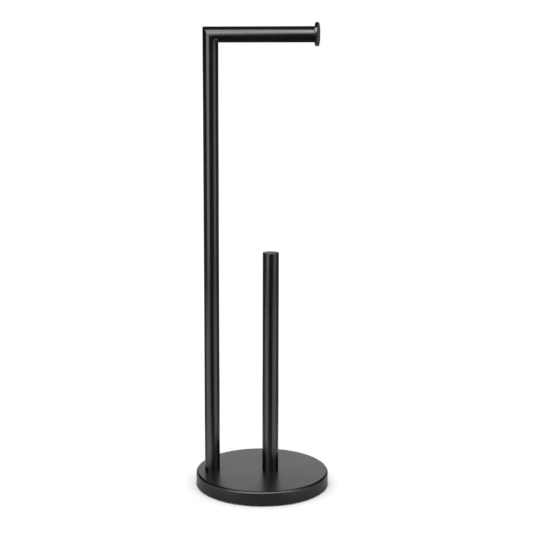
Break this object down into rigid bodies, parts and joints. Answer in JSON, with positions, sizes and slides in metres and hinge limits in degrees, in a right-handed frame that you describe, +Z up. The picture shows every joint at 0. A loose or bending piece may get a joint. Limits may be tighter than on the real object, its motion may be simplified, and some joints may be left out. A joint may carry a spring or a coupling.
{
  "type": "toilet paper holder",
  "caption": "Free-standing toilet paper holder: weighted round base, L-shaped post with a roll arm and end disc, and a shorter post that stores spare rolls.",
  "frame": {"origin": "centre of the base's underside, on the surface that it stands on", "axes": "+Z up along the posts; +X from the foot of the L-shaped post to the foot of the spare-roll post; -Y towards the front, where the arm's end points slightly"},
  "size_m": [0.17, 0.17, 0.5886],
  "materials": {
    "black_powder_coat": "satin black powder coat, fine texture",
    "cast_weight": "as cast",
    "foam_pad": "matte black foam rubber",
    "zinc_steel": "zinc plated"
  },
  "bodies": {
    "base": {"base_cover": "black_powder_coat", "base_weight": "cast_weight", "base_pad": "foam_pad", "spare_post_tube": "black_powder_coat", "spare_post_cap": "black_powder_coat", "spare_foot_insert": "zinc_steel", "spare_screw": "zinc_steel", "spare_washer": "zinc_steel", "spare_spring_washer": "zinc_steel"},
    "post": {"post_tube": "black_powder_coat", "arm_tube": "black_powder_coat", "end_disc": "black_powder_coat", "arm_end_insert": "zinc_steel", "post_foot_insert": "zinc_steel", "post_screw": "zinc_steel", "post_washer": "zinc_steel", "post_spring_washer": "zinc_steel"}
  },
  "joints": [
    {"name": "post_swivel", "type": "hinge", "parent": "base", "child": "post", "pos_m": [-0.0645, 0, 0.0185], "axis": [0, 0, 1], "continuous": true}
  ]
}
